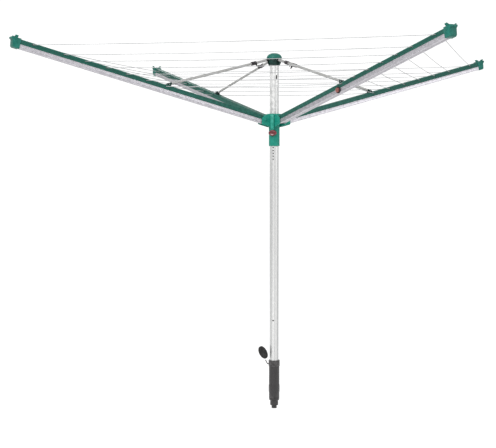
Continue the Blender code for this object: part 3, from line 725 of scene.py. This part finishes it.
profile = [(0, 0), (LID_R - 0.0015, 0), (LID_R, 0.0015), (LID_R, LID_DEPTH - 0.0006)]
profile += [(LID_R - 0.0006, LID_DEPTH), (LID_R - 0.0029, LID_DEPTH)]
profile += [(LID_R - LID_WALL, LID_DEPTH - 0.0006), (LID_R - LID_WALL, LID_WALL)]
for r in LID_RINGS:
    profile += [(r, LID_WALL), (r, 0.0055), (r - RING_WIDTH, 0.0055), (r - RING_WIDTH, LID_WALL)]
profile += [(0, LID_WALL)]
dish = turned("dish", profile, steps=72)
spoke = box_piece("spoke", ((0.0055, -0.0007, 0.0030), (LID_R - 0.0030, 0.0007, 0.0052)))
grip = box_piece("grip", ((LID_R - 0.0006, -0.0008, 0.0022),
                          (LID_R + 0.0005, 0.0008, LID_DEPTH - 0.0012)))
softened(grip, 0.0003, 1)
ribs = []
for pattern, count in ((spoke, LID_SPOKES), (grip, LID_GRIPS)):
    label = pattern.name
    for k in range(count):
        ribs.append(copied(pattern, label, Matrix.Rotation(2 * pi * k / count, 4, "Z")))
for pattern in (spoke, grip):
    bpy.data.objects.remove(pattern)
closure = joined("closure", dish, *ribs)
lean = Matrix.Rotation(-(pi / 2 - LID_LEAN), 4, "Y")
twist_about = Matrix.Rotation(LID_TWIST, 4, Vector((sin(LID_LEAN), 0, cos(LID_LEAN))))
beside = Matrix.Rotation(LID_AZIMUTH, 4, "Z") @ Matrix.Translation((LID_REACH, 0, LID_Z))
stand = beside @ twist_about @ lean
closure.data.transform(stand @ Matrix.Translation((0, 0, -LID_DEPTH / 2)))
finish_mesh(closure)
settle(closure, "lid", "black_rubber", RUBBER, "lid")
print("lid", len(closure.data.polygons), "faces")

# %% [markdown]
# ## Mast
#
# The mast is one aluminium tube. It has a row of five small holes under the hub, where a pin can
# lock it at different heights, one more low down, and a slot near the top. The tube is turned with
# a fine wall, and the holes are cut with rods and a block.

# %% Turn the mast and drill it
MAST_LOW, MAST_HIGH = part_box("mast_tube")
MAST_R = 0.025
MAST_WALL = 0.0015
HOLE_AZIMUTH = radians(225)
HOLE_HEIGHTS = [1.4475 - 0.016 * step for step in range(5)]
HOLE_R = 0.0036
LOW_HOLE_Z = 0.489
LOW_HOLE_R = 0.0040
DRILL_LENGTH = 0.014
SLOT_LOW, SLOT_TOP = 1.827, 1.849
SLOT_HALF = 0.0035
MAST_BREAKS = (0.30, 0.80, 1.30)

profile = [(MAST_R, z) for z in (MAST_LOW.z, *MAST_BREAKS, MAST_HIGH.z)]
profile += [(MAST_R - MAST_WALL, z) for z in (MAST_HIGH.z, MAST_LOW.z)]
mast = turned("mast_pipe", profile, steps=96, closed=True)
side = Vector((cos(HOLE_AZIMUTH), sin(HOLE_AZIMUTH), 0))
for z, radius in [(z, HOLE_R) for z in HOLE_HEIGHTS] + [(LOW_HOLE_Z, LOW_HOLE_R)]:
    bpy.ops.object.select_all(action="DESELECT")
    bpy.ops.mesh.primitive_cylinder_add(vertices=24, radius=radius, depth=DRILL_LENGTH,
                                        location=side * MAST_R + Vector((0, 0, z)),
                                        rotation=(0, pi / 2, HOLE_AZIMUTH))
    cut_out(mast, bpy.context.object)
cut_out(mast, box_piece("slot", ((-SLOT_HALF, -0.032, SLOT_LOW), (SLOT_HALF, -0.018, SLOT_TOP))))
finish_mesh(mast)
settle(mast, "mast", "aluminium", MAST_METAL, "mast_tube")
# Faces inside the tube take the painted shade of the bore.
mast.data.materials.append(BORE_PAINTED_SHADE)
for polygon in mast.data.polygons:
    if polygon.center.to_2d().length < MAST_R - 0.0007:
        polygon.material_index = 1
print("mast", len(mast.data.polygons), "faces")

# %% [markdown]
# ## Cap
#
# The cap is a low dome with a thin bright lip round its widest part, under which the side draws
# in to the crown. The four struts start right beneath it, so the lower rim has four notches. Its
# dome is an ellipse, turned in one piece with the plug that holds it in the mast.

# %% Turn the cap and notch it
CAP_LOW = 1.9375
CAP_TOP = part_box("cap")[1].z
CAP_PLUG_R = MAST_R - MAST_WALL - 0.0003
LIP_Z = CAP_LOW + 0.0095
CAP_R = 0.043
CAP_RIM_R = 0.0396
CAP_PLUG_DEPTH = 0.010
DOME_STEPS = 18
NOTCH_HALF = 0.0078
NOTCH_NEAR, NOTCH_FAR = 0.0285, 0.060
NOTCH_FLOOR, NOTCH_ROOF = CAP_LOW - 0.012, 1.9425

profile = [(0, CAP_LOW - CAP_PLUG_DEPTH), (CAP_PLUG_R, CAP_LOW - CAP_PLUG_DEPTH)]
profile += [(CAP_PLUG_R, CAP_LOW), (CAP_RIM_R, CAP_LOW), (CAP_RIM_R + 0.0008, CAP_LOW + 0.0007)]
profile += [(CAP_R - 0.0012, LIP_Z - 0.0024), (CAP_R - 0.0002, LIP_Z - 0.0018)]
profile += [(CAP_R, LIP_Z - 0.0008), (CAP_R - 0.0001, LIP_Z + 0.0004)]
profile += [(CAP_R - 0.0010, LIP_Z + 0.0011)]
for step in range(DOME_STEPS + 1):
    angle = pi / 2 * step / DOME_STEPS
    bulge = (CAP_R - 0.0014) * cos(angle) ** 0.86
    profile.append((bulge, LIP_Z + 0.0013 + (CAP_TOP - LIP_Z - 0.0013) * sin(angle) ** 1.08))
profile[-1] = (0, CAP_TOP)
cap = turned("dome", profile, steps=96)
quarters = [((NOTCH_NEAR, -NOTCH_HALF, NOTCH_FLOOR), (NOTCH_FAR, NOTCH_HALF, NOTCH_ROOF)),
            ((-NOTCH_FAR, -NOTCH_HALF, NOTCH_FLOOR), (-NOTCH_NEAR, NOTCH_HALF, NOTCH_ROOF)),
            ((-NOTCH_HALF, NOTCH_NEAR, NOTCH_FLOOR), (NOTCH_HALF, NOTCH_FAR, NOTCH_ROOF)),
            ((-NOTCH_HALF, -NOTCH_FAR, NOTCH_FLOOR), (NOTCH_HALF, -NOTCH_NEAR, NOTCH_ROOF))]
cut_out(cap, box_piece("notches", *quarters))
softened(cap, 0.0004, 1, 50)
settle(cap, "mast", "green_plastic", CAP_GREEN, "cap")
print("cap", len(cap.data.polygons), "faces")

# %% [markdown]
# ## Moulded fittings
#
# The crown, the hub, the end caps and the small brackets are moulded plastic. Their shapes are
# right in the model, but every edge there is knife sharp. A copy of the model's mesh is merged and
# its flat faces are made whole again, and then each edge gets a narrow rounding, as a mould gives.
# What repeats is done once, for arm 1, and copied to the other arms by quarter turns.

# %% Soften the fittings
def moulded_copy(node, name, width, segments=2, crease=28):
    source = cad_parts[node]
    piece = bpy.data.objects.new(name, source.data.copy())
    bpy.context.scene.collection.objects.link(piece)
    bpy.ops.object.select_all(action="DESELECT")
    piece.select_set(True)
    bpy.context.view_layer.objects.active = piece
    bpy.ops.object.mode_set(mode="EDIT")
    bpy.ops.mesh.select_all(action="SELECT")
    bpy.ops.mesh.remove_doubles(threshold=0.00001)
    bpy.ops.mesh.dissolve_limited(angle_limit=radians(1))
    bpy.ops.object.mode_set(mode="OBJECT")
    return softened(piece, width, segments, crease)


def on_each_arm(piece, label, body, slot, materials, nodes, arms=ARMS):
    """Copies a piece made for arm 1 to every arm. body and nodes leave a place for its number."""
    for arm in arms:
        copy = copied(piece, f"{label}_{arm}", quarter_turn(arm))
        material = materials[arm] if isinstance(materials, dict) else materials
        settle(copy, body.format(arm), slot, material, *[node.format(arm) for node in nodes])
    bpy.data.objects.remove(piece)


crown = moulded_copy("crown", "collar", 0.0006)
settle(crown, "mast", "dark_green_plastic", DEEP_GREEN, "crown")
hub = moulded_copy("hub", "sliding_hub", 0.0008)
settle(hub, "hub", "green_plastic", GREEN, "hub")
FITTINGS = (
    # The end caps take the green with painted shade.
    ("arm_{}", "end_cap", "end", 0.0022, 3, "green_plastic", END_GREEN_PAINTED_SHADE),
    ("arm_{}", "root_plug", "nose", 0.0010, 2, "dark_green_plastic", DEEP_GREEN),
    ("arm_{}", "bracket", "saddle", 0.0004, 2, "dark_green_plastic", DEEP_GREEN),
    ("strut_{}", "hook", "clip", 0.0005, 2, "black_plastic", BLACK),
    ("strut_{}", "top_end", "top_eye", 0.0004, 2, "black_plastic", BLACK),
    ("strut_{}", "lower_end", "lower_eye", 0.0004, 2, "dark_green_plastic", DEEP_GREEN),
)
for body, part, label, width, segments, slot, material in FITTINGS:
    node = f"{body}_{part}"
    pattern = moulded_copy(node.format(1), label, width, segments)
    on_each_arm(pattern, label, body, slot, material, [node])
print("fittings softened")

# %% [markdown]
# ## Covers and channels
#
# Each arm is two long pieces: a green cover with rounded shoulders and an aluminium channel below
# it. A section is drawn as a closed chain of points, filled, and pulled out along the arm, as the
# real ones are pushed through a die. The cover has a fine bead along each lower edge, and the
# channel has a rolled foot and two shallow grooves on each side.

# %% Draw the sections and pull them out
ARM_START = 0.006
ARM_STOP = 1.4422
HALF = 0.018


def pulled_bar(name, section, start, stop):
    """section is (y, h) pairs round the outline, counted so that the bar runs out along S."""
    piece = drawn_outline(name, [(start, y, h) for y, h in section])
    bpy.ops.mesh.edge_face_add()
    bpy.ops.mesh.extrude_region_move(TRANSFORM_OT_translate={"value": (stop - start, 0, 0)})
    bpy.ops.mesh.select_all(action="SELECT")
    bpy.ops.mesh.normals_make_consistent(inside=False)
    finish_mesh(piece, 35)
    return piece


def mirrored(side):
    """The left half of a section, followed by its right half the other way round."""
    return side + [(-y, h) for y, h in reversed(side)]


def shoulder(half, top, radius, steps=5):
    centre_y, centre_h = -half + radius, top - radius
    angles = [pi - pi / 2 * step / steps for step in range(steps + 1)]
    return [(centre_y + radius * cos(a), centre_h + radius * sin(a)) for a in angles]


bead = 0.0005
outside = [(-HALF, -0.0007), (-HALF, 0.0006), (-HALF + bead, 0.0013), (-HALF + bead, 0.0022)]
outside += shoulder(HALF - bead, 0.0240, 0.0042)
inside = [(-0.0160, -0.0007)] + shoulder(0.0155, 0.0218, 0.0030, 4)
section = mirrored(outside) + [(-y, h) for y, h in inside] + list(reversed(inside))
cover = pulled_bar("cover", section, ARM_START, ARM_STOP)
BEND_TO_WALL = 0.005
WINDOW_SHIFT = LINE_BEND_S - BEND_TO_WALL * cos(ARM_RISE)
WINDOW_H = LINE_H + BEND_TO_WALL * sin(ARM_RISE)
WINDOW_HALF = Vector((0.0046, 0.03, 0.0025))
middles = [Vector((s + WINDOW_SHIFT, 0, WINDOW_H)) for s in LINE_S]
windows = [(middle - WINDOW_HALF, middle + WINDOW_HALF) for middle in middles]
cut_out(cover, box_piece("windows", *windows))
cover.data.transform(ARM_FRAME)
softened(cover, 0.0003, 1, 50)
# The covers take the green with painted shade.
on_each_arm(cover, "cover", "arm_{}", "green_plastic", COVER_GREEN_PAINTED_SHADE, ["arm_{}_cover"])

dent = 0.0004
outside = [(-0.0060, -0.0212), (-0.0068, -0.0220), (-HALF + 0.0012, -0.0220), (-HALF, -0.0208)]
outside += [(-HALF, -0.0182), (-HALF + dent, -0.0178), (-HALF + dent, -0.0170), (-HALF, -0.0166)]
outside += [(-HALF, -0.0056), (-HALF + dent, -0.0052), (-HALF + dent, -0.0044), (-HALF, -0.0040)]
outside += [(-HALF, -0.0016), (-HALF + 0.0006, -0.0010)]
inside = [(-0.0164, -0.0010), (-0.0164, -0.0196), (-0.0060, -0.0196)]
left = outside + inside
section = left + [(-y, h) for y, h in reversed(left)]
channel = pulled_bar("channel", section, ARM_START, ARM_STOP)
channel.data.transform(ARM_FRAME)
finish_mesh(channel, 35)
on_each_arm(channel, "channel", "arm_{}", "aluminium", CHANNEL_METAL, ["arm_{}_channel"])
print("covers and channels pulled out")

# %% [markdown]
# ## Struts and pins
#
# A strut is a plain tube with a rounded rim at each end. It is turned upright and then laid on its
# line between the two pins. The pins are rivets with low domed heads.

# %% Turn the struts and pins
STRUT_R = 0.007
STRUT_CUT = 0.0168
STRUT_LENGTH = (STRUT_FAR - STRUT_NEAR).length


def laid_between(start, end):
    """Carries a piece that stands on Z from the origin onto the line from start to end."""
    turn = (end - start).to_track_quat("Z", "Y").to_matrix().to_4x4()
    return Matrix.Translation(start) @ turn


rim = 0.0006
top = STRUT_LENGTH - STRUT_CUT
profile = [(STRUT_R - 0.001, STRUT_CUT), (STRUT_R - rim, STRUT_CUT), (STRUT_R, STRUT_CUT + rim)]
profile += [(STRUT_R, top - rim), (STRUT_R - rim, top), (STRUT_R - 0.001, top)]
strut = turned("strut", profile, steps=32, closed=True)
strut.data.transform(laid_between(STRUT_NEAR, STRUT_FAR))
on_each_arm(strut, "strut", "strut_{}", "grey_paint", STRUT_GREY, ["strut_{}_tube"])


def rivet(name, radius, half, centre):
    """A pin across the arm with a domed head at each end, inside the pin's own length."""
    dome = [(radius * cos(pi / 2 * k / 4), half - radius * 0.35 * (1 - sin(pi / 2 * k / 4)))
            for k in range(5)]
    dome[-1] = (0, half)
    profile = [(r, -z) for r, z in reversed(dome)] + dome
    pin = turned(name, profile, steps=20)
    pin.data.transform(Matrix.Translation(centre) @ Matrix.Rotation(pi / 2, 4, "X"))
    return pin


RIVETS = (
    ("crown_rivet", 0.0020, 0.0108, STRUT_NEAR, "mast", "crown_pin_{}"),
    ("saddle_rivet", 0.0020, 0.0108, STRUT_FAR, "arm_{}", "bracket_pin_{}"),
    ("root_rivet", 0.0040, 0.0185, ARM_PIN, "arm_{}", "arm_{}_root_pin"),
)
for label, radius, half, centre, body, node in RIVETS:
    on_each_arm(rivet(label, radius, half, centre), label, body, "steel", STEEL, [node])
print("struts and pins in place")

# %% [markdown]
# ## Release button
#
# The button on the hub is an oval cushion with a shallow dish in its face. A round disc is turned
# first, with a rolled rim round the dish, and then it is narrowed to an oval, stood on its side and
# carried out to the hub's corner rib.

# %% Turn the button
BUTTON_LOW, BUTTON_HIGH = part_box("release_button")
BUTTON_Z = (BUTTON_LOW.z + BUTTON_HIGH.z) / 2
BUTTON_HALF_HIGH = (BUTTON_HIGH.z - BUTTON_LOW.z) / 2
BUTTON_HALF_WIDE = 0.023
BUTTON_INNER = 0.0355
BUTTON_OUTER = 0.0465

depth = BUTTON_OUTER - BUTTON_INNER
half = BUTTON_HALF_WIDE
profile = [(0, 0), (half - 0.001, 0), (half, 0.001), (half, depth - 0.0058)]
profile += [(half - 0.0006, depth - 0.0038), (half - 0.0020, depth - 0.0018)]
profile += [(half - 0.0040, depth - 0.0005), (half - 0.0060, depth)]
profile += [(half - 0.0075, depth - 0.0001), (half - 0.0095, depth - 0.0008)]
profile += [(half - 0.0130, depth - 0.0014), (half - 0.0175, depth - 0.0017), (0, depth - 0.0018)]
button = turned("press_button", profile, steps=64)
narrow = Matrix.Diagonal((BUTTON_HALF_HIGH / BUTTON_HALF_WIDE, 1, 1, 1))
outward = Matrix.Rotation(HOLE_AZIMUTH, 4, "Z") @ Matrix.Translation((BUTTON_INNER, 0, BUTTON_Z))
button.data.transform(outward @ Matrix.Rotation(pi / 2, 4, "Y") @ narrow)
finish_mesh(button, 50)
settle(button, "button", "red_plastic", RED, "release_button")
print("button", len(button.data.polygons), "faces")

# %% [markdown]
# ## Tension knob
#
# On the side of arm 4 a knob takes up the slack of the line. It is a short drum with finger
# grooves round it, in a black ring. The drum is a cylinder; every third strip of its side is drawn
# in, its face is inset and pressed down, and its edges are rounded.

# %% Shape the knob
KNOB_LOW, KNOB_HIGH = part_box("tension_knob")
KNOB_CENTRE = (KNOB_LOW + KNOB_HIGH) / 2
KNOB_R = (KNOB_HIGH.z - KNOB_LOW.z) / 2
KNOB_BACK, KNOB_FRONT = KNOB_HIGH.x, KNOB_LOW.x
KNOB_STRIPS = 48
KNOB_GAP = 0.0028


def faces_where(piece, test):
    """Selects, in edit mode, the faces whose centre and normal pass the test."""
    bpy.ops.mesh.select_all(action="DESELECT")
    bpy.ops.object.mode_set(mode="OBJECT")
    for polygon in piece.data.polygons:
        polygon.select = bool(test(polygon.center, polygon.normal))
    bpy.ops.object.mode_set(mode="EDIT")
    bpy.ops.mesh.select_mode(type="FACE")


def in_groove(centre, normal):
    """Every third strip of the drum's side."""
    on_side = abs(normal.z) < 0.1 and centre.length > KNOB_R * 0.9
    turn = Vector((centre.x, centre.y)).angle_signed(Vector((1, 0)), 0) % (2 * pi)
    return on_side and round(turn * KNOB_STRIPS / 2 / pi) % 3 == 0


bpy.ops.object.select_all(action="DESELECT")
drum_depth = KNOB_BACK - KNOB_FRONT - KNOB_GAP
bpy.ops.mesh.primitive_cylinder_add(vertices=KNOB_STRIPS, radius=KNOB_R, depth=drum_depth,
                                    location=(0, 0, drum_depth / 2 + KNOB_GAP))
knob = bpy.context.object
bpy.ops.object.transform_apply(location=True, rotation=True, scale=True)
bpy.ops.object.mode_set(mode="EDIT")
faces_where(knob, lambda centre, normal: normal.z > 0.9)
bpy.ops.mesh.inset(thickness=0.0030, depth=0)
bpy.ops.mesh.inset(thickness=0.0006, depth=-0.0012)
faces_where(knob, in_groove)
bpy.ops.mesh.extrude_region_shrink_fatten(TRANSFORM_OT_shrink_fatten={"value": -0.0008})
bpy.ops.mesh.select_all(action="SELECT")
bpy.ops.object.mode_set(mode="OBJECT")
softened(knob, 0.0004, 2, 35)
knob.name = "grip_knob"
knob.data.transform(Matrix.Translation((KNOB_BACK, KNOB_CENTRE.y, KNOB_CENTRE.z))
                    @ Matrix.Rotation(-pi / 2, 4, "Y"))
settle(knob, "knob", "knob_plastic", BROWN, "tension_knob")
collar = moulded_copy("knob_ring", "knob_collar", 0.0007)
settle(collar, "arm_4", "black_plastic", BLACK, "knob_ring")
print("knob", len(knob.data.polygons), "faces")

# %% [markdown]
# ## What stays as it is
#
# The strap and the plug in the mast's foot keep the model's shape. They get the same plastics as
# their neighbours, so that no part is left with a plain colour.

# %% Dress the remaining nodes
for node, material in {"lid_strap": RUBBER, "foot_plug": CHARCOAL}.items():
    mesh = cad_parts[node].data
    mesh.materials.clear()
    mesh.materials.append(material)
print("every node is dressed")
